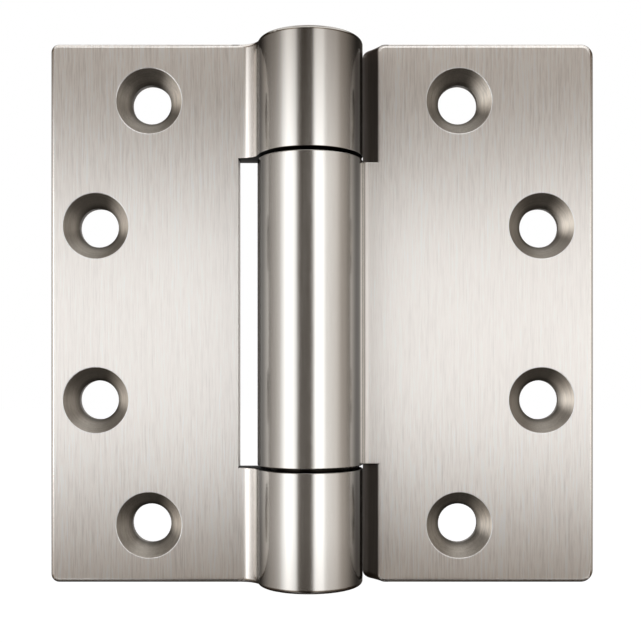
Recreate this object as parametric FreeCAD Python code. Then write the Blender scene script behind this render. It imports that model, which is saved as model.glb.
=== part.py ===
import FreeCAD, Part
import math
import os

# Detention hinge: full mortise, three knuckles, non-removable pin, opened flat.
# Millimetres. The origin is on the pin's axis at mid height. +Z runs up along the pin, +X from the
# barrel into the door leaf, and the countersunk front, where the barrel stands out, faces -Y.

# Leaves
hinge_height = 114.3
frame_leaf_reach = 55.1             # from the pin's axis to the outer edge
door_leaf_reach = 60.1
leaf_thickness = 4.76
closed_gap = 1.6                    # between the two front faces when the hinge is shut
frame_corner_radius = 1.7
door_corner_radius = 2.6
edge_round = 0.9                    # leaf edges and the barrel's ends
door_back_round = 0.3               # back rim and the cove's back edge

# Barrel and knuckles
barrel_diameter = 22.2
outer_knuckle_length = 24.4
knuckle_gap = 0.7
frame_fillet_radius = 4.2           # front, from the outer knuckles to the frame leaf
door_fillet_radius = 1.4            # front, from the centre knuckle to the door leaf
back_fillet_radius = 1.0
seam_round = 0.25

# Notches that clear the other leaf's knuckles
frame_notch_clearance = 4.2         # straight wall, from the barrel's side
door_notch_front_clearance = 3.3    # cove, from the barrel's side at the leaf's front face
door_notch_back_clearance = 1.0     # cove, from the barrel's surface to the back corner, before its round
door_notch_hollow = 0.3             # how deep the cove is below its chord
door_notch_corner_radius = 1.7

# Countersunk screw holes, placed from the pin's axis and from mid height
screw_head_diameter = 14.0
screw_hole_diameter = 8.4
countersink_round = 0.2
countersink_angle = 82.0
frame_inner_hole_x = 34.2
frame_outer_hole_x = 45.5
door_inner_hole_x = 31.6
door_outer_hole_x = 49.1
inner_hole_spacing = 90.0
outer_hole_spacing = 37.0

# Pin, plugs and bushes
pin_diameter = 9.53
pin_chamfer = 0.8
plug_diameter = 12.7
plug_thickness = 3.2
plug_chamfer = 0.4
bush_wall = 1.6
bush_length = 14.0

# Thrust ball bearing at each seam
bearing_diameter = 18.4
race_thickness = 1.3
race_groove_depth = 0.3
ball_diameter = 2.4
ball_count = 10
cage_thickness = 1.0

# Clearances
press_clearance = 0.03              # radial, between pieces pressed into each other
running_clearance = 0.05            # radial, bush on pin and ball in its groove
cage_clearance = 0.3                # radial, cage to pin and to housing
pocket_clearance = 0.12             # radial, ball in its cage pocket
pin_end_clearance = 0.1             # pin's end to the plug

# Derived sizes
half_height = hinge_height / 2
front_y = closed_gap / 2
back_y = front_y + leaf_thickness
barrel_radius = barrel_diameter / 2
centre_knuckle_length = hinge_height - 2 * (outer_knuckle_length + knuckle_gap)
centre_half = centre_knuckle_length / 2
seam_z = centre_half + knuckle_gap / 2
frame_notch_x = barrel_radius + frame_notch_clearance
door_notch_front_x = barrel_radius + door_notch_front_clearance
door_notch_back_x = math.sqrt((barrel_radius + door_notch_back_clearance) ** 2 - back_y ** 2)
head_radius = screw_head_diameter / 2
hole_radius = screw_hole_diameter / 2
cone_depth = (head_radius - hole_radius) / math.tan(math.radians(countersink_angle / 2))
pin_radius = pin_diameter / 2
plug_radius = plug_diameter / 2
bush_radius = pin_radius + running_clearance + bush_wall
ball_radius = ball_diameter / 2
groove_radius = ball_radius + 2 * running_clearance
race_distance = ball_diameter + 2 * running_clearance - 2 * race_groove_depth
bearing_depth = (2 * race_thickness + race_distance - knuckle_gap) / 2
bearing_radius = bearing_diameter / 2
race_bore_radius = pin_radius + cage_clearance
cage_inner_radius = pin_radius + cage_clearance
cage_outer_radius = bearing_radius - cage_clearance
ball_circle_radius = (cage_inner_radius + cage_outer_radius) / 2

UP = FreeCAD.Vector(0, 0, 1)


def point(x, y, z=0.0):
    return FreeCAD.Vector(x, y, z)


def cylinder(radius, bottom, top, x=0.0, y=0.0):
    return Part.makeCylinder(radius, top - bottom, point(x, y, bottom), UP)


def ring(outer_radius, inner_radius, bottom, top):
    return cylinder(outer_radius, bottom, top).cut(cylinder(inner_radius, bottom, top))


def edges_where(shape, test):
    # The edges whose whole run meets the test, tried at both ends and in the middle.
    found = []
    for edge in shape.Edges:
        first, last = edge.ParameterRange
        samples = [edge.valueAt(p) for p in (first, (first + last) / 2, last)]
        if all(test(p) for p in samples):
            found.append(edge)
    return found


def near(a, b):
    return abs(a - b) < 1e-4


def tangent_arc(centre, start, end):
    # The short arc about a centre from start to end.
    radius = (start - centre).Length
    middle = (start - centre) + (end - centre)
    middle.normalize()
    return Part.Arc(start, centre + middle * radius, end).toShape()


def extrude_outline(edges, bottom, top):
    face = Part.Face(Part.Wire(edges))
    solid = face.extrude(point(0, 0, top - bottom))
    solid.translate(point(0, 0, bottom))
    return solid


def fillet_centre(radius, y):
    # The centre, at height y, of a fillet that touches the barrel.
    return point(math.sqrt((barrel_radius + radius) ** 2 - y ** 2), y)


def knuckle(bottom, top, front_fillet_radius):
    # One knuckle with the root of its leaf on the +X side, blended by a fillet on the front and a
    # small one on the back.
    front_centre = fillet_centre(front_fillet_radius, front_y - front_fillet_radius)
    back_centre = fillet_centre(back_fillet_radius, back_y + back_fillet_radius)
    front_on_barrel = front_centre * (barrel_radius / front_centre.Length)
    back_on_barrel = back_centre * (barrel_radius / back_centre.Length)
    front_on_leaf = point(front_centre.x, front_y)
    back_on_leaf = point(back_centre.x, back_y)
    root_x = front_centre.x + leaf_thickness
    front_root = point(root_x, front_y)
    back_root = point(root_x, back_y)
    outline = [
        Part.Arc(back_on_barrel, point(-barrel_radius, 0), front_on_barrel).toShape(),
        tangent_arc(front_centre, front_on_barrel, front_on_leaf),
        Part.LineSegment(front_on_leaf, front_root).toShape(),
        Part.LineSegment(front_root, back_root).toShape(),
        Part.LineSegment(back_root, back_on_leaf).toShape(),
        tangent_arc(back_centre, back_on_leaf, back_on_barrel),
    ]
    return extrude_outline(outline, bottom, top)


def door_plate():
    # The flat of the door leaf over its full height. Its inner edge is a cove round the barrel.
    front_inner = point(door_notch_front_x, front_y)
    back_inner = point(door_notch_back_x, back_y)
    chord = back_inner - front_inner
    away = point(chord.y, -chord.x)
    away.normalize()
    hollow = front_inner + chord * 0.5 + away * door_notch_hollow
    front_outer = point(door_leaf_reach, front_y)
    back_outer = point(door_leaf_reach, back_y)
    outline = [
        Part.Arc(back_inner, hollow, front_inner).toShape(),
        Part.LineSegment(front_inner, front_outer).toShape(),
        Part.LineSegment(front_outer, back_outer).toShape(),
        Part.LineSegment(back_outer, back_inner).toShape(),
    ]
    return extrude_outline(outline, -half_height, half_height)


def frame_plate():
    # The flat of the frame leaf, still on the +X side, with the straight wall of its notch.
    width = frame_leaf_reach - frame_notch_x
    return Part.makeBox(width, leaf_thickness, hinge_height, point(frame_notch_x, front_y, -half_height))


def countersunk_hole(x, z):
    # A screw hole with its countersink, open to the front.
    axis = point(0, 1, 0)
    overshoot = leaf_thickness
    start = point(x, front_y - overshoot, z)
    mouth_radius = head_radius + overshoot * math.tan(math.radians(countersink_angle / 2))
    hole = Part.makeCylinder(hole_radius, leaf_thickness + 2 * overshoot, start, axis)
    cone = Part.makeCone(mouth_radius, hole_radius, cone_depth + overshoot, start, axis)
    return hole.fuse(cone)


def screw_holes(inner_x, outer_x):
    tools = []
    for side in (1, -1):
        tools.append(countersunk_hole(inner_x, side * inner_hole_spacing / 2))
        tools.append(countersunk_hole(outer_x, side * outer_hole_spacing / 2))
    return tools


def round_outer_corners(leaf, reach, radius):
    corners = edges_where(leaf, lambda p: near(p.x, reach) and near(abs(p.z), half_height))
    return leaf.makeFillet(radius, corners)


def round_rim(leaf, reach, face_y, radius):
    # The rim of the face at face_y, from its outer edge on as far as it runs without a sharp corner.
    # On the frame leaf that takes in the knuckles' ends and the back.
    start = edges_where(leaf, lambda p: near(p.x, reach) and near(p.y, face_y))
    return leaf.makeFillet(radius, start)


def round_seam_rims(leaf, seam_end):
    # The rims of the knuckle ends at the two seams. The bores are cut later and keep sharp mouths.
    on_barrel = edges_where(
        leaf, lambda p: near(abs(p.z), seam_end) and near(math.hypot(p.x, p.y), barrel_radius)
    )
    return leaf.makeFillet(seam_round, on_barrel)


def drill(leaf, inner_x, outer_x):
    leaf = leaf.cut(screw_holes(inner_x, outer_x))
    mouths = edges_where(leaf, lambda p: near(p.y, front_y) and on_mouth(p, inner_x, outer_x))
    return leaf.makeFillet(countersink_round, mouths)


def on_mouth(p, inner_x, outer_x):
    for x, spacing in ((inner_x, inner_hole_spacing), (outer_x, outer_hole_spacing)):
        if near(math.hypot(p.x - x, abs(p.z) - spacing / 2), head_radius):
            return True
    return False


def knuckle_bores():
    # Frame knuckles: the pin's bore, the plug's seat at the outer end, the bearing's at the inner end.
    tools = []
    pin_bore = pin_radius + press_clearance
    plug_seat = plug_radius + press_clearance
    bearing_seat = bearing_radius + press_clearance
    inner_end = centre_half + knuckle_gap
    upper = cylinder(pin_bore, inner_end, half_height)
    upper = upper.fuse(cylinder(plug_seat, half_height - plug_thickness, half_height))
    upper = upper.fuse(cylinder(bearing_seat, inner_end, inner_end + bearing_depth))
    tools.append(upper)
    tools.append(upper.mirror(point(0, 0), UP))
    return tools


def frame_leaf():
    inner_end = centre_half + knuckle_gap
    upper = knuckle(inner_end, half_height, frame_fillet_radius)
    leaf = frame_plate().fuse([upper, lower(upper)]).removeSplitter()
    leaf = round_outer_corners(leaf, frame_leaf_reach, frame_corner_radius)
    leaf = round_rim(leaf, frame_leaf_reach, front_y, edge_round)
    leaf = round_seam_rims(leaf, inner_end)
    leaf = drill(leaf, frame_inner_hole_x, frame_outer_hole_x).cut(knuckle_bores())
    return leaf.mirror(point(0, 0), point(1, 0, 0))


def door_leaf():
    middle = knuckle(-centre_half, centre_half, door_fillet_radius)
    leaf = door_plate().fuse(middle).removeSplitter()
    leaf = round_outer_corners(leaf, door_leaf_reach, door_corner_radius)
    beside_notch = door_notch_front_x + door_notch_hollow
    notch_ends = edges_where(leaf, lambda p: near(abs(p.z), half_height) and p.x < beside_notch)
    leaf = leaf.makeFillet(door_notch_corner_radius, notch_ends)
    leaf = round_rim(leaf, door_leaf_reach, front_y, edge_round)
    leaf = round_rim(leaf, door_leaf_reach, back_y, door_back_round)
    leaf = round_seam_rims(leaf, centre_half)
    leaf = drill(leaf, door_inner_hole_x, door_outer_hole_x)
    bush_seat = cylinder(bush_radius + press_clearance, -centre_half, centre_half)
    race_seat = bearing_radius + press_clearance
    tools = [bush_seat]
    tools.append(cylinder(race_seat, centre_half - bearing_depth, centre_half))
    tools.append(cylinder(race_seat, -centre_half, bearing_depth - centre_half))
    return leaf.cut(tools)


def hinge_pin():
    half_length = half_height - plug_thickness - pin_end_clearance
    pin = cylinder(pin_radius, -half_length, half_length)
    ends = edges_where(pin, lambda p: near(abs(p.z), half_length))
    return pin.makeChamfer(pin_chamfer, ends)


def top_plug():
    plug = cylinder(plug_radius, half_height - plug_thickness, half_height)
    outer_end = edges_where(plug, lambda p: near(p.z, half_height))
    return plug.makeChamfer(plug_chamfer, outer_end)


def upper_bush():
    top = centre_half - bearing_depth
    return ring(bush_radius, pin_radius + running_clearance, top - bush_length, top)


def race(bottom, groove_up):
    # A grooved washer. The groove's round is a little larger than the ball.
    top = bottom + race_thickness
    washer = ring(bearing_radius, race_bore_radius, bottom, top)
    rise = groove_radius - race_groove_depth
    groove_z = top + rise if groove_up else bottom - rise
    return washer.cut(Part.makeTorus(ball_circle_radius, groove_radius, point(0, 0, groove_z), UP))


def upper_frame_race():
    return race(seam_z + race_distance / 2, groove_up=False)


def upper_door_race():
    return race(seam_z - race_distance / 2 - race_thickness, groove_up=True)


def ball_places():
    places = []
    for number in range(ball_count):
        angle = 2 * math.pi * number / ball_count
        x = ball_circle_radius * math.cos(angle)
        y = ball_circle_radius * math.sin(angle)
        places.append(point(x, y, seam_z))
    return places


def upper_ball_cage():
    bottom = seam_z - cage_thickness / 2
    top = seam_z + cage_thickness / 2
    pocket_radius = ball_radius + pocket_clearance
    pockets = [cylinder(pocket_radius, bottom, top, place.x, place.y) for place in ball_places()]
    return ring(cage_outer_radius, cage_inner_radius, bottom, top).cut(pockets)


def upper_balls():
    return Part.Compound([Part.makeSphere(ball_radius, place) for place in ball_places()])


def lower(shape):
    # The same piece at the hinge's lower half.
    return shape.mirror(point(0, 0), UP)


def build():
    parts = {
        "frame_leaf": frame_leaf(),
        "door_leaf": door_leaf(),
        "hinge_pin": hinge_pin(),
        "top_plug": top_plug(),
        "bottom_plug": lower(top_plug()),
        "upper_bush": upper_bush(),
        "lower_bush": lower(upper_bush()),
    }
    bearing = {
        "frame_race": upper_frame_race(),
        "ball_cage": upper_ball_cage(),
        "balls": upper_balls(),
        "door_race": upper_door_race(),
    }
    for name, shape in bearing.items():
        parts["upper_" + name] = shape
        parts["lower_" + name] = lower(shape)
    return parts


os.makedirs("parts", exist_ok=True)
for node, shape in build().items():
    shape.exportStep("parts/" + node + ".step")
    print(node, round(shape.Volume / 1000, 3), "cm3", len(shape.Solids), "solids", shape.isValid())
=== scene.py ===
import math

import bmesh
import bpy
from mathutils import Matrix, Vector


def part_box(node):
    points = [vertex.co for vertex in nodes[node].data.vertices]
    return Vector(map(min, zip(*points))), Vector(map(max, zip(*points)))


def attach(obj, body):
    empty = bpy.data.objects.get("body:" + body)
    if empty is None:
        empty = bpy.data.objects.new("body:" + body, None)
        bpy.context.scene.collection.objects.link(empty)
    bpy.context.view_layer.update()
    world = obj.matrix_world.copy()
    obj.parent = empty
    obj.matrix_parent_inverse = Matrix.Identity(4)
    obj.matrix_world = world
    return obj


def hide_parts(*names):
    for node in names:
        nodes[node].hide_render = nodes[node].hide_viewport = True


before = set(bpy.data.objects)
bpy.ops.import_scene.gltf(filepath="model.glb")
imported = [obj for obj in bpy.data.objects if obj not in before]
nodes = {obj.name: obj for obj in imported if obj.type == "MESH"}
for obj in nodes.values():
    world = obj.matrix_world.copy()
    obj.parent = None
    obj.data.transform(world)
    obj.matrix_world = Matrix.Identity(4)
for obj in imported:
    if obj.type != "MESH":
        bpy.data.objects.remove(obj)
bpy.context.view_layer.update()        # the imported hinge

# Detention hinge, opened flat and seen from its countersunk front. Places in the scene are in metres.
# Sizes of patterns and regions are in millimetres, and a pair is where something starts and where it is full.
mm = 0.001
print("hinge loaded,", len(nodes), "parts")


# Node helpers

class Wire:                                   # one output of a node, with arithmetic on it
    def __init__(self, tree, socket):
        self.tree = tree
        self.socket = socket

    def also(self, name):                     # another output of the same node
        return Wire(self.tree, self.socket.node.outputs[name])

    def calc(self, operation, *values):
        return self.tree.add("ShaderNodeMath", {"operation": operation}, dict(enumerate(values)))

    def larger(self, other):
        return self.calc("MAXIMUM", self, other)

    def smaller(self, other):
        return self.calc("MINIMUM", self, other)

    def step(self, start, full):              # 0 at start, 1 at full, smooth between; start may be the larger
        return self.tree.add("ShaderNodeMapRange", {"interpolation_type": "SMOOTHSTEP"},
                             {"Value": self, "From Min": start, "From Max": full})

    def __add__(self, other):
        return self.calc("ADD", self, other)

    def __sub__(self, other):
        return self.calc("SUBTRACT", self, other)

    def __rsub__(self, other):
        return self.calc("SUBTRACT", other, self)

    def __mul__(self, other):
        return self.calc("MULTIPLY", self, other)

    def __truediv__(self, other):
        return self.calc("DIVIDE", self, other)

    def __pow__(self, other):
        return self.calc("POWER", self, other)

    def __abs__(self):
        return self.calc("ABSOLUTE", self)

    __radd__ = __add__
    __rmul__ = __mul__


class Tree:                                   # a node tree that is filled in by code
    def __init__(self, nodeTree):
        self.nodeTree = nodeTree
        nodeTree.nodes.clear()

    def add(self, kind, settings=None, inputs=None, output=0):
        node = self.nodeTree.nodes.new(kind)
        for name, value in (settings or {}).items():
            if name == "stops":
                setStops(node.color_ramp, value)
            else:
                setattr(node, name, value)
        for key, value in (inputs or {}).items():
            if isinstance(value, Wire):
                self.nodeTree.links.new(value.socket, node.inputs[key])
            else:
                node.inputs[key].default_value = value
        if len(node.outputs):
            return Wire(self, node.outputs[output])

    def mixColour(self, factor, first, second, blend="MIX"):
        return self.add("ShaderNodeMix", {"data_type": "RGBA", "blend_type": blend},
                        {0: factor, 6: first, 7: second}, 2)

    def dimmed(self, colour, tone):           # a colour times one number
        grey = self.add("ShaderNodeCombineColor", None, {0: tone, 1: tone, 2: tone})
        return self.mixColour(1.0, colour, grey, "MULTIPLY")

    def vector(self, x=0.0, y=0.0, z=0.0):
        return self.add("ShaderNodeCombineXYZ", None, {0: x, 1: y, 2: z})

    def parts(self, vector):                  # x, y and z of a vector
        x = self.add("ShaderNodeSeparateXYZ", None, {0: vector}, "X")
        return x, x.also("Y"), x.also("Z")

    def scaled(self, vector, factors):
        return self.add("ShaderNodeVectorMath", {"operation": "MULTIPLY"}, {0: vector, 1: factors})

    def noise(self, vector, detail=2.0, roughness=0.5):
        return self.add("ShaderNodeTexNoise", {"noise_dimensions": "3D"},
                        {"Vector": vector, "Scale": 1.0, "Detail": detail, "Roughness": roughness}, "Fac")

    def bumped(self, height, depth, normal=None):
        inputs = {"Height": height, "Strength": 1.0, "Distance": depth * mm}
        if normal:
            inputs["Normal"] = normal
        return self.add("ShaderNodeBump", None, inputs)

    def metal(self, colour, roughness, normal, anisotropy=0.0):
        return self.add("ShaderNodeBsdfPrincipled", None,
                        {"Base Color": colour, "Roughness": roughness, "Normal": normal,
                         "Metallic": 1.0, "Anisotropic": anisotropy})

    def finish(self, shader):
        self.add("ShaderNodeOutputMaterial", None, {"Surface": shader})


def setStops(ramp, stops):
    while len(ramp.elements) > 1:
        ramp.elements.remove(ramp.elements[-1])
    for number, (position, colour) in enumerate(stops):
        element = ramp.elements[0] if number == 0 else ramp.elements.new(position)
        element.position = position
        element.color = colour


def newMaterial(name):
    material = bpy.data.materials.new(name)
    material.use_nodes = True
    return material, Tree(material.node_tree)


def pointInMm(tree):                          # the point on the piece, in millimetres from the pin's middle
    return tree.scaled(tree.add("ShaderNodeTexCoord", output="Object"), (1000, 1000, 1000))


def tinted(colour, amount=1.0):
    return tuple(channel * amount for channel in colour) + (1.0,)


# Satin stainless steel of the two leaves

seamZ = 32.4                                  # both seams, above and below the middle

leafSizes = {"halfHeight": 57.15, "innerHoleZ": 45.0, "outerHoleZ": 18.5, "lipRadius": 7.08}

leafRegions = {
    # distance from the pin's axis
    "knuckle": (11.6, 11.2), "filletGloss": (11.3, 12.2), "notch": (16.8, 16.5),
    # distance from the leaf's outer edges
    "rim": (0.95, 0.75),
    # distance from a screw hole's axis and from the rim of its countersink, and y of both
    "sink": (7.1, 6.95), "lip": (0.20, 0.08), "sinkY": (5.5, 5.2), "lipY": (1.3, 1.1),
    # distance from a seam's middle
    "seam": (0.50, 0.37),
    # the normal's y, 1 on the front and the back
    "rounded": (0.9995, 0.93), "rimTurn": (0.995, 0.97), "upright": (0.93, 0.6), "edge": (0.35, 0.1),
    "flat": (0.55, 0.95),
    # the normal's z, 1 on level faces
    "end": (0.6, 0.9), "ledge": (0.3, 0.7), "seamWall": (0.15, 0.6),
}

leafFinish = {
    "flatColour": (0.98, 0.95, 0.92),         # brushed flats and fillets
    "barrelColour": (0.62, 0.605, 0.58),      # polished knuckles
    "lipColour": (0.97, 0.96, 0.95),          # burnished rims of the countersinks
    "edgeColour": (0.60, 0.575, 0.54),        # the leaves' outer edges
    "notchShadeColour": (0.13, 0.112, 0.10),       # painted shade on the walls beside the barrel
    "seamColour": (0.012, 0.011, 0.010),      # grease and shadow in the seams
    "flatRoughness": 0.50,
    "barrelRoughness": 0.12,
    "filletRoughness": 0.26,
    "rimRoughness": 0.22,
    "edgeRoughness": 0.36,
    "seamRoughness": 0.6,
    "hairGrain": (4.2, 4.2, 0.20),            # hair lines per mm, along x, y and z
    "bandGrain": (1.3, 1.3, 0.03),            # broader bands of the same brushing
    "cloudGrain": (0.09, 0.09, 0.05),         # slow change over the whole leaf
    "faceRings": 5.0,                         # turning rings per mm on the ends
    "faceDrift": 0.15,
    "hairShare": 0.65,
    "hairRoughness": 0.06,
    "bandRoughness": 0.08,
    "hairContrast": 0.46,
    "endContrast": 0.44,                      # more towards the ends, where the grain shows in the shade
    "endContrastZ": (12.0, 42.0),
    "cloudContrast": 0.06,
    "barrelContrast": 0.12,
    "barrelRelief": 0.45,                     # share of the brushing's depth that the polish leaves
    "grainDepth": 0.006,
    "anisotropy": 0.85,
    "crown": 0.15,                            # how far the polished flats lean away at their ends, radians
}

# painted light in the countersinks: their colour is darker than the flats partly as painted shade of the
# recess, with a painted highlight on one side and painted shade at the top and near the hole
sinkFinish = {
    "colour": (0.43, 0.40, 0.36),
    "roughness": 0.50,
    "rings": 5.0,                             # turning rings per mm
    "drift": 0.2,
    "ringContrast": 0.5,
    "ringRoughness": 0.14,
    "paintedGlint": (0.93, 0.37),                    # direction of the painted highlight, (x, z) from the hole's centre
    "glintSpread": (0.62, 1.0),               # cosine of the angle from it
    "paintedGlintGain": 1.32,
    "glintLean": 0.30,                        # the bright side leans forward to the light
    "paintedTopShade": 0.50,
    "topSpread": (-0.1, 0.95),
    "paintedInnerShade": 0.55,
    "innerSpread": (5.3, 4.2),                # from the hole's centre
}

cornerPaintedShade = {                              # painted shade: a dark strip on the knuckles, low beside the leaves
    "spread": (-7.6, -3.8),                   # y of its front
    "back": (0.8, -1.0),                      # y of its back
    "depth": (11.4, 11.12),                   # from the pin's axis, so that it stays on the barrel
    "lead": 1.3,                              # how much further forward it starts on the right side
    "side": 6.0,                              # x at which a side's own values are full
    "fade": 1.4,
}

# What differs between the leaves. The polish runs out over the frame leaf's wide fillet. wallShade is 1 where
# the notch's walls get painted shade, and 0 where only its ledges do.
frameSide = {"reach": 55.1, "innerHoleX": -34.2, "outerHoleX": -45.5, "polish": (15.6, 14.6),
             "wallShade": 0.0, "cornerShadeEnd": 5.0, "cornerShadeLeftLead": 0.0, "cornerShadeTones": (0.12, 0.15)}
doorSide = {"reach": 60.1, "innerHoleX": 31.6, "outerHoleX": 49.1, "polish": (11.6, 10.6),
            "wallShade": 1.0, "cornerShadeEnd": -2.8, "cornerShadeLeftLead": 1.3, "cornerShadeTones": (0.20, 0.20)}


def nearestHole(x, z, side, s=leafSizes):     # distance to the nearest screw hole's axis, and x and z from it
    height = abs(z)
    toInner = ((x - side["innerHoleX"]) ** 2 + (height - s["innerHoleZ"]) ** 2) ** 0.5
    toOuter = ((x - side["outerHoleX"]) ** 2 + (height - s["outerHoleZ"]) ** 2) ** 0.5
    atInner = toInner.calc("LESS_THAN", toInner, toOuter)
    sign = z.step(-0.1, 0.1) * 2 - 1
    fromHoleX = x - (side["outerHoleX"] + atInner * (side["innerHoleX"] - side["outerHoleX"]))
    fromHoleZ = sign * (height - (s["outerHoleZ"] + atInner * (s["innerHoleZ"] - s["outerHoleZ"])))
    return toInner.smaller(toOuter), fromHoleX, fromHoleZ


def paintedSinkLight(toHole, fromHoleX, fromHoleZ, f=sinkFinish):    # painted highlight on a countersink's bright side, and its tone with painted shade
    glintX, glintZ = f["paintedGlint"]
    paintedGlint = ((fromHoleX * glintX + fromHoleZ * glintZ) / toHole).step(*f["glintSpread"])
    topPaintedShadeTone = 1 - (fromHoleZ / toHole).step(*f["topSpread"]) * f["paintedTopShade"]
    innerPaintedShadeTone = 1 - toHole.step(*f["innerSpread"]) * f["paintedInnerShade"]
    return paintedGlint, (1 + paintedGlint * f["paintedGlintGain"]) * topPaintedShadeTone * innerPaintedShadeTone


def paintedCornerShade(x, y, radius, side, c=cornerPaintedShade):    # below 1 on the strip of painted shade
    onRight, onLeft = x.step(0.0, c["side"]), x.step(0.0, -c["side"])
    front = y + c["lead"] * onRight + side["cornerShadeLeftLead"] * onLeft
    shadedCorner = front.step(*c["spread"]) * y.step(*c["back"]) * radius.step(*c["depth"])
    shadedCorner = shadedCorner * (1 - onRight * y.step(side["cornerShadeEnd"] - c["fade"], side["cornerShadeEnd"]))
    left, right = side["cornerShadeTones"]
    tone = left + (right - left) * x.step(-0.5 * c["side"], 0.5 * c["side"])
    return 1 - (1 - tone) * shadedCorner


def leafSteel(name, side, s=leafSizes, r=leafRegions, f=leafFinish):
    material, tree = newMaterial(name)
    point = pointInMm(tree)
    x, y, z = tree.parts(point)
    _, normalY, normalZ = tree.parts(tree.add("ShaderNodeTexCoord", output="Normal"))
    frontBack, upDown = abs(normalY), abs(normalZ)
    height = abs(z)

    # regions
    radius = (x * x + y * y) ** 0.5
    onKnuckle = radius.step(*r["knuckle"])
    onFillet = radius.step(*side["polish"]) * frontBack.step(*r["rounded"])
    onBarrel = onFillet.larger(onKnuckle)
    toHole, fromHoleX, fromHoleZ = nearestHole(x, z, side)
    inSink = toHole.step(*r["sink"]) * y.step(*r["sinkY"])
    lip = abs(toHole - s["lipRadius"]).step(*r["lip"]) * y.step(*r["lipY"])
    nearNotch = radius.step(*r["notch"])
    fromEnd, fromSide = s["halfHeight"] - height, side["reach"] - abs(x)
    nearRim = fromEnd.step(*r["rim"]).larger(fromSide.step(*r["rim"]))
    rim = nearRim * (1 - onBarrel) * frontBack.step(*r["rimTurn"])
    end = upDown.step(*r["end"])
    upright = frontBack.step(*r["upright"]) * (1 - inSink)
    edge = upright * (1 - nearNotch) * frontBack.step(*r["edge"])
    # the notch walls beside the barrel get painted shade
    notch = upright * nearNotch * (1 - onBarrel)
    notch = notch * (side["wallShade"] + (1 - side["wallShade"]) * upDown.step(*r["ledge"]))
    seam = abs(height - seamZ).step(*r["seam"]) * upDown.step(*r["seamWall"])
    flat = frontBack.step(*r["flat"]) * (1 - onBarrel)

    # brushing along the hinge, and turning in the countersinks and on the ends
    hair = tree.noise(tree.scaled(point, f["hairGrain"]), 3.0, 0.6)
    band = tree.noise(tree.scaled(point, f["bandGrain"]))
    cloud = tree.noise(tree.scaled(point, f["cloudGrain"]))
    sinkDrift, faceDrift = sinkFinish["drift"], f["faceDrift"]
    turned = tree.noise(tree.vector(toHole * sinkFinish["rings"], x * sinkDrift, z * sinkDrift))
    faced = tree.noise(tree.vector(radius * f["faceRings"], x * faceDrift, y * faceDrift))
    brushed = hair * f["hairShare"] + band * (1 - f["hairShare"])
    relief = brushed * (1 - (1 - f["barrelRelief"]) * onBarrel) * (1 - inSink) * (1 - end)
    relief = relief + turned * inSink + faced * end

    # colour
    contrast = f["hairContrast"] + height.step(*f["endContrastZ"]) * f["endContrast"]
    flatTone = 1 + (brushed - 0.5) * contrast + (cloud - 0.5) * f["cloudContrast"]
    barrelTone = 1 + (brushed - 0.5) * f["barrelContrast"]
    # painted highlight and painted shade in the countersinks
    paintedGlint, paintedSinkTone = paintedSinkLight(toHole, fromHoleX, fromHoleZ)
    ringTone = 1 + (turned - 0.5) * sinkFinish["ringContrast"]
    tone = flatTone + (barrelTone - flatTone) * onBarrel
    # painted shade on the knuckles beside the leaves
    tone = tone * paintedCornerShade(x, y, radius, side) * (1 + (ringTone * paintedSinkTone - 1) * inSink)
    colour = tree.mixColour(onKnuckle, tinted(f["flatColour"]), tinted(f["barrelColour"]))
    for region, own in ((edge, f["edgeColour"]), (notch, f["notchShadeColour"]), (inSink, sinkFinish["colour"]),
                        (lip, f["lipColour"]), (seam, f["seamColour"])):
        colour = tree.mixColour(region, colour, tinted(own))
    colour = tree.dimmed(colour, tone)

    # gloss
    polish = f["barrelRoughness"]
    polish = polish + (f["filletRoughness"] - f["barrelRoughness"]) * radius.step(*r["filletGloss"])
    smooth = f["flatRoughness"] + (polish - f["flatRoughness"]) * onBarrel
    for region, own in ((rim, f["rimRoughness"]), (edge.larger(notch), f["edgeRoughness"]),
                        (seam, f["seamRoughness"])):
        smooth = smooth + (own - smooth) * region
    roughness = smooth + (band - 0.5) * f["bandRoughness"] + (hair - 0.5) * f["hairRoughness"]
    turnedRoughness = sinkFinish["roughness"] + (turned - 0.5) * sinkFinish["ringRoughness"]

    # the flats are polished a little round towards their ends, and a countersink's bright side leans forward
    lean = tree.vector(y=paintedGlint * inSink * -sinkFinish["glintLean"],
                       z=z * (f["crown"] / s["halfHeight"]) * flat * (1 - inSink))
    lean = tree.add("ShaderNodeVectorTransform", {"vector_type": "VECTOR", "convert_from": "OBJECT",
                                                  "convert_to": "WORLD"}, {0: lean})
    shading = tree.add("ShaderNodeNewGeometry", output="Normal")
    leaned = tree.add("ShaderNodeVectorMath", {"operation": "ADD"}, {0: shading, 1: lean})
    leaned = tree.add("ShaderNodeVectorMath", {"operation": "NORMALIZE"}, {0: leaned})
    normal = tree.bumped(relief, f["grainDepth"], leaned)
    brushedSteel = tree.metal(colour, roughness, normal, f["anisotropy"])
    turnedSink = tree.metal(colour, turnedRoughness, normal)
    tree.finish(tree.add("ShaderNodeMixShader", None, {0: inSink, 1: brushedSteel, 2: turnedSink}))
    return material


# The inner pieces

greaseAndShadow = {"from": 7.4, "full": 8.1, "spread": 1.6, "colour": (0.014, 0.012, 0.010)}


def greasedAndShadowed(tree, colour, radius, z, g=greaseAndShadow):        # dark grease and painted shadow where the bearings open to the seams
    covered = radius.step(g["from"], g["full"]) * abs(abs(z) - seamZ).step(g["spread"] + 0.3, g["spread"])
    return tree.mixColour(covered, colour, tinted(g["colour"]))


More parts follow.
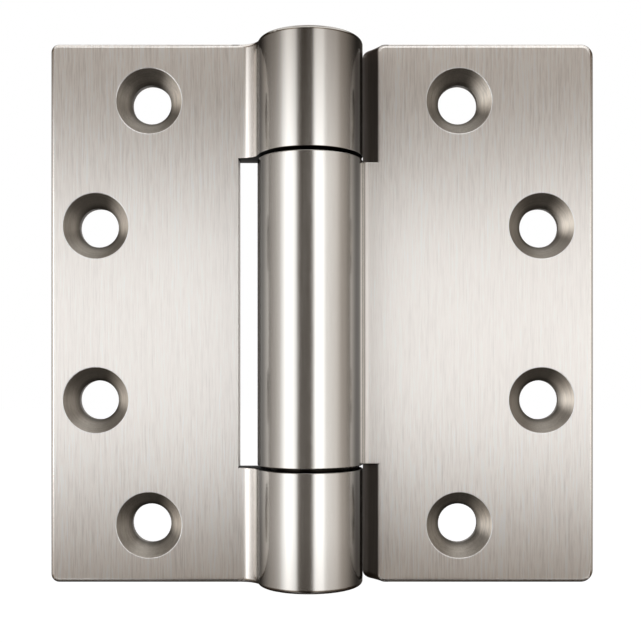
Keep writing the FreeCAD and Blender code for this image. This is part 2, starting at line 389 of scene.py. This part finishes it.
pinFinish = {"colour": (0.56, 0.555, 0.545), "roughness": 0.22,
             "lines": 7.0, "depth": 0.002, "contrast": 0.16}
plugFinish = {"colour": (0.70, 0.675, 0.64), "roughness": 0.30,
              "lines": 4.0, "depth": 0.005, "contrast": 0.20}
raceFinish = {"colour": (0.60, 0.60, 0.61), "roughness": 0.16,
              "lines": 9.0, "depth": 0.001, "contrast": 0.10}
ballFinish = {"colour": (0.78, 0.78, 0.79), "roughness": 0.07,
              "lines": 1.2, "depth": 0.0005, "contrast": 0.05}
lathe = {"drift": 0.1, "lineRoughness": 0.08, "anisotropy": 0.3,      # what all of these share
         "stainGrain": (0.35, 0.35, 0.35), "stainContrast": 0.10, "stainRoughness": 0.10}


def turnedSteel(name, f, shared=lathe):       # fine lathe or grinding lines round the pin's axis
    material, tree = newMaterial(name)
    point = pointInMm(tree)
    x, y, z = tree.parts(point)
    radius = (x * x + y * y) ** 0.5
    lines = tree.noise(tree.vector(radius * f["lines"], z * f["lines"], x * shared["drift"]), 3.0, 0.6)
    stain = tree.noise(tree.scaled(point, shared["stainGrain"]), 3.0)
    tone = 1 + (lines - 0.5) * f["contrast"] + (stain - 0.5) * shared["stainContrast"]
    colour = greasedAndShadowed(tree, tree.dimmed(tinted(f["colour"]), tone), radius, z)
    roughness = f["roughness"] + (lines - 0.5) * shared["lineRoughness"]
    roughness = roughness + (stain - 0.5) * shared["stainRoughness"]
    tree.finish(tree.metal(colour, roughness, tree.bumped(lines, f["depth"]), shared["anisotropy"]))
    return material


bronzeFinish = {
    "colour": (0.66, 0.45, 0.22), "stainTone": 0.7, "stainShare": 0.35, "stainGrain": (0.5, 0.5, 0.5),
    "poreColour": (0.20, 0.12, 0.06), "poreGrain": (5.0, 5.0, 5.0), "poreSpread": (0.42, 0.34),
    "roughness": 0.42, "poreRoughness": 0.3, "depth": 0.01,
}


def sinteredBronze(name, f=bronzeFinish):     # oil filled bushes, with open pores
    material, tree = newMaterial(name)
    point = pointInMm(tree)
    pores = tree.noise(tree.scaled(point, f["poreGrain"]), 3.0, 0.7)
    mouths = pores.step(*f["poreSpread"])
    stain = tree.noise(tree.scaled(point, f["stainGrain"])) * f["stainShare"]
    colour = tree.mixColour(stain, tinted(f["colour"]), tinted(f["colour"], f["stainTone"]))
    colour = tree.mixColour(mouths, colour, tinted(f["poreColour"]))
    roughness = f["roughness"] + mouths * f["poreRoughness"]
    tree.finish(tree.metal(colour, roughness, tree.bumped(pores, f["depth"])))
    return material


brassFinish = {
    "colour": (0.74, 0.57, 0.27), "tarnish": (0.42, 0.30, 0.14), "spotGrain": (0.8, 0.8, 0.8),
    "spotSpread": (0.45, 0.8), "rollGrain": (6.0, 0.4, 6.0), "roughness": 0.28, "rollRoughness": 0.2,
    "depth": 0.006,
}


def pressedBrass(name, f=brassFinish):        # ball cages, blanked from rolled sheet
    material, tree = newMaterial(name)
    point = pointInMm(tree)
    x, y, z = tree.parts(point)
    rolled = tree.noise(tree.scaled(point, f["rollGrain"]), 3.0)
    spots = tree.noise(tree.scaled(point, f["spotGrain"]), 3.0).step(*f["spotSpread"])
    colour = tree.mixColour(spots, tinted(f["colour"]), tinted(f["tarnish"]))
    colour = greasedAndShadowed(tree, colour, (x * x + y * y) ** 0.5, z)
    roughness = f["roughness"] + (rolled - 0.5) * f["rollRoughness"]
    tree.finish(tree.metal(colour, roughness, tree.bumped(rolled, f["depth"])))
    return material


finishes = {                                  # by a word in the node's name
    "frame_leaf": leafSteel("frameLeafSteel", frameSide),
    "door_leaf": leafSteel("doorLeafSteel", doorSide),
    "hinge_pin": turnedSteel("groundPinSteel", pinFinish),
    "plug": turnedSteel("turnedPlugSteel", plugFinish),
    "race": turnedSteel("groundRaceSteel", raceFinish),
    "cage": pressedBrass("pressedBrass"),
    "balls": turnedSteel("polishedBallSteel", ballFinish),
    "bush": sinteredBronze("sinteredBronze"),
}
for name, node in nodes.items():
    kind = next(key for key in finishes if key in name)
    node.material_slots[0].material = finishes[kind]
print("finishes on the parts:", ", ".join(sorted(finishes)))


# Ball rings of the two concealed bearings

ballRing = {"count": 10, "segments": 24, "rings": 14}


def ballRingTree(b=ballRing):
    group = bpy.data.node_groups.new("ballRing", "GeometryNodeTree")
    group.interface.new_socket("Ball Count", in_out="INPUT", socket_type="NodeSocketInt")
    for label in ("Ball Radius", "Circle Radius", "Height"):
        group.interface.new_socket(label, in_out="INPUT", socket_type="NodeSocketFloat")
    group.interface.new_socket("Geometry", in_out="OUTPUT", socket_type="NodeSocketGeometry")
    tree = Tree(group)
    count = tree.add("NodeGroupInput", output="Ball Count")
    circle = tree.add("GeometryNodeMeshCircle", None,
                      {"Vertices": count, "Radius": count.also("Circle Radius")})
    ball = tree.add("GeometryNodeMeshUVSphere", None, {"Segments": b["segments"], "Rings": b["rings"],
                                                       "Radius": count.also("Ball Radius")}, "Mesh")
    ball = tree.add("GeometryNodeSetShadeSmooth", None, {"Geometry": ball})
    placed = tree.add("GeometryNodeInstanceOnPoints", None, {"Points": circle, "Instance": ball})
    lift = tree.vector(z=count.also("Height"))
    placed = tree.add("GeometryNodeTransform", None, {"Geometry": placed, "Translation": lift})
    placed = tree.add("GeometryNodeRealizeInstances", None, {"Geometry": placed})
    placed = tree.add("GeometryNodeSetMaterial", None, {"Geometry": placed, "Material": finishes["balls"]})
    tree.add("NodeGroupOutput", None, {"Geometry": placed})
    return group


def makeBallRing(name, group, cadNode, body):
    low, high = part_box(cadNode)
    ballRadius = (high.z - low.z) / 2
    values = {"Ball Count": ballRing["count"], "Ball Radius": ballRadius,
              "Circle Radius": high.x - ballRadius, "Height": (high.z + low.z) / 2}
    holder = bpy.data.objects.new(name + "Maker", bpy.data.meshes.new(name + "Maker"))
    bpy.context.scene.collection.objects.link(holder)
    modifier = holder.modifiers.new("ballRing", "NODES")
    modifier.node_group = group
    for item in group.interface.items_tree:
        if item.in_out == "INPUT":
            modifier[item.identifier] = values[item.name]
    graph = bpy.context.evaluated_depsgraph_get()
    mesh = bpy.data.meshes.new_from_object(holder.evaluated_get(graph))
    bpy.data.objects.remove(holder)
    mesh.name = name
    piece = bpy.data.objects.new(name, mesh)
    bpy.context.scene.collection.objects.link(piece)
    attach(piece, body)
    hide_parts(cadNode)
    return piece


ballGroup = ballRingTree()
for half in ("upper", "lower"):
    ring = makeBallRing(half + "BallRing", ballGroup, half + "_balls", half + "_cage")
    print(ring.name, len(ring.data.polygons), "faces")


# Camera

camera = {"place": (6.3, -207.2, -12.5), "lens": 55.1, "sensor": 36, "shiftX": -0.0304, "shiftY": 0.0788}

lensData = bpy.data.cameras.new("camera")
lensData.sensor_fit = "HORIZONTAL"
lensData.sensor_width = camera["sensor"]
lensData.lens = camera["lens"]
lensData.shift_x = camera["shiftX"]
lensData.shift_y = camera["shiftY"]
lensData.clip_start = 10 * mm
cameraObject = bpy.data.objects.new("camera", lensData)
cameraObject.location = Vector(camera["place"]) * mm
cameraObject.rotation_euler = (math.radians(90), 0, 0)
bpy.context.scene.collection.objects.link(cameraObject)
bpy.context.scene.camera = cameraObject


# Studio: a dome of cloth lit in bands, which only reflections see, a top lamp, a white floor and background

studio = {
    "radius": 0.42, "floorZ": -0.32, "floorRadius": 8.0, "domeGap": 0.01,
    # heading in degrees, 0 towards the camera and 90 to the hinge's right; brightness; warmth
    "walls": [(-180, 1.50, 0.1), (-168, 1.40, 0.1), (-162, 0.11, 0.8), (-134, 0.12, 0.9), (-126, 0.17, 0.8),
              (-104, 0.32, 0.6), (-78, 0.56, 0.5), (-66, 0.80, 0.3), (-57, 1.50, 0.0), (-48, 2.05, 0.0),
              (-40, 2.00, 0.0), (-29, 1.50, 0.0), (-24, 0.30, 0.7), (-17, 0.13, 0.9), (3, 0.15, 0.9),
              (8, 0.36, 0.5), (11, 1.90, 0.0), (29, 1.95, 0.0), (35, 1.15, 0.2), (60, 0.90, 0.4),
              (72, 0.52, 0.7), (100, 0.34, 0.8), (130, 0.20, 0.8), (162, 0.22, 0.7), (168, 1.40, 0.1),
              (180, 1.50, 0.1)],
    # elevation in degrees, share of the brightness above, warmth
    "heights": [(-90, 0.10, 0.5), (-50, 0.10, 0.5), (-40, 0.18, 1.6), (-33, 0.18, 1.6), (-15, 1.00, 0.0),
                (15, 1.00, 0.0), (34, 0.165, 1.6), (44, 0.20, 1.6), (54, 0.90, 0.1), (68, 0.90, 0.1),
                (78, 0.40, 0.2), (90, 0.40, 0.2)],
    "warmTint": (1.0, 0.87, 0.75),
    "capSpread": (44.0, 54.0), "capColour": (1.0, 0.98, 0.96),    # overhead cloth, in degrees up
    "paper": (0.8, 0.8, 0.8), "paperGlow": 0.45,
    "airColour": (0.72, 0.72, 0.73), "white": (1.0, 1.0, 1.0),
    "topLamp": {"place": (0.12, -0.35, 0.72), "size": 0.45, "power": 1.2},
}


def clothStops(rows, lowest, highest):
    stops = []
    for angle, bright, warmth in rows:
        tint = [1 - warmth * (1 - channel) for channel in studio["warmTint"]]
        stops.append(((angle - lowest) / (highest - lowest), tinted(tint, bright)))
    return stops


def stageMesh(name, fill):                    # a mesh for the studio, filled by fill(shape)
    mesh = bpy.data.meshes.new(name)
    shape = bmesh.new()
    fill(shape)
    shape.to_mesh(mesh)
    shape.free()
    piece = bpy.data.objects.new(name, mesh)
    bpy.context.scene.collection.objects.link(piece)
    return piece


def domeShape(shape):
    bmesh.ops.create_uvsphere(shape, u_segments=96, v_segments=48, radius=studio["radius"])
    for vertex in shape.verts:                # a level bottom just above the floor
        vertex.co.z = max(vertex.co.z, studio["floorZ"] + studio["domeGap"])


def floorShape(shape):
    bmesh.ops.create_circle(shape, cap_ends=True, segments=96, radius=studio["floorRadius"])
    bmesh.ops.translate(shape, verts=shape.verts, vec=(0, 0, studio["floorZ"]))


def seenDirectly(tree):                       # 1 where the eye, a mirror or glass looks, 0 for light itself
    path = tree.add("ShaderNodeLightPath", output="Is Camera Ray")
    return path.larger(path.also("Is Glossy Ray")).larger(path.also("Is Transmission Ray"))


def buildDome():
    dome = stageMesh("studioDome", domeShape)
    dome.visible_camera = False
    dome.visible_diffuse = False
    dome.visible_shadow = False
    material, tree = newMaterial("studioCloth")
    place = tree.add("ShaderNodeTexCoord", output="Object")
    x, y, z = tree.parts(place)
    far = tree.add("ShaderNodeVectorMath", {"operation": "LENGTH"}, {0: place}, "Value")
    heading = x.calc("ARCTAN2", x, 0 - y) / (2 * math.pi) + 0.5
    rise = z.calc("ARCSINE", z / far) / math.pi + 0.5
    cloth = tree.add("ShaderNodeValToRGB", {"stops": clothStops(studio["walls"], -180, 180)},
                     {"Fac": heading}, "Color")
    overhead = rise.step(*(angle / 180 + 0.5 for angle in studio["capSpread"]))
    cloth = tree.mixColour(overhead, cloth, tinted(studio["capColour"]))
    share = tree.add("ShaderNodeValToRGB", {"stops": clothStops(studio["heights"], -90, 90)},
                     {"Fac": rise}, "Color")
    cloth = tree.mixColour(1.0, cloth, share, "MULTIPLY")
    tree.finish(tree.add("ShaderNodeEmission", None, {"Color": cloth}))
    material.cycles.emission_sampling = "NONE"
    dome.data.materials.append(material)


def buildFloor():
    floor = stageMesh("floor", floorShape)
    material, tree = newMaterial("whiteFloor")
    glow = seenDirectly(tree) * studio["paperGlow"]
    paper = tree.add("ShaderNodeBsdfDiffuse", None, {"Color": tinted(studio["paper"])})
    white = tree.add("ShaderNodeEmission", None, {"Color": tinted(studio["white"]), "Strength": glow})
    tree.finish(tree.add("ShaderNodeAddShader", None, {0: paper, 1: white}))
    material.cycles.emission_sampling = "NONE"
    floor.data.materials.append(material)


def buildWorld():
    world = bpy.data.worlds.new("studioAir")
    bpy.context.scene.world = world
    world.use_nodes = True
    tree = Tree(world.node_tree)
    light = tree.add("ShaderNodeBackground", None, {"Color": tinted(studio["airColour"]), "Strength": 1.0})
    white = tree.add("ShaderNodeBackground", None, {"Color": tinted(studio["white"]), "Strength": 1.0})
    air = tree.add("ShaderNodeMixShader", None, {0: seenDirectly(tree), 1: light, 2: white})
    tree.add("ShaderNodeOutputWorld", None, {"Surface": air})


def hangLamp(name):
    lamp = studio[name]
    data = bpy.data.lights.new(name, "AREA")
    data.size = lamp["size"]
    data.energy = lamp["power"]
    holder = bpy.data.objects.new(name, data)
    holder.location = lamp["place"]
    holder.rotation_euler = (-Vector(lamp["place"])).to_track_quat("-Z", "Y").to_euler()
    bpy.context.scene.collection.objects.link(holder)


buildDome()
buildFloor()
buildWorld()
hangLamp("topLamp")
bpy.context.scene.view_settings.view_transform = "Standard"
print("studio and camera set up")
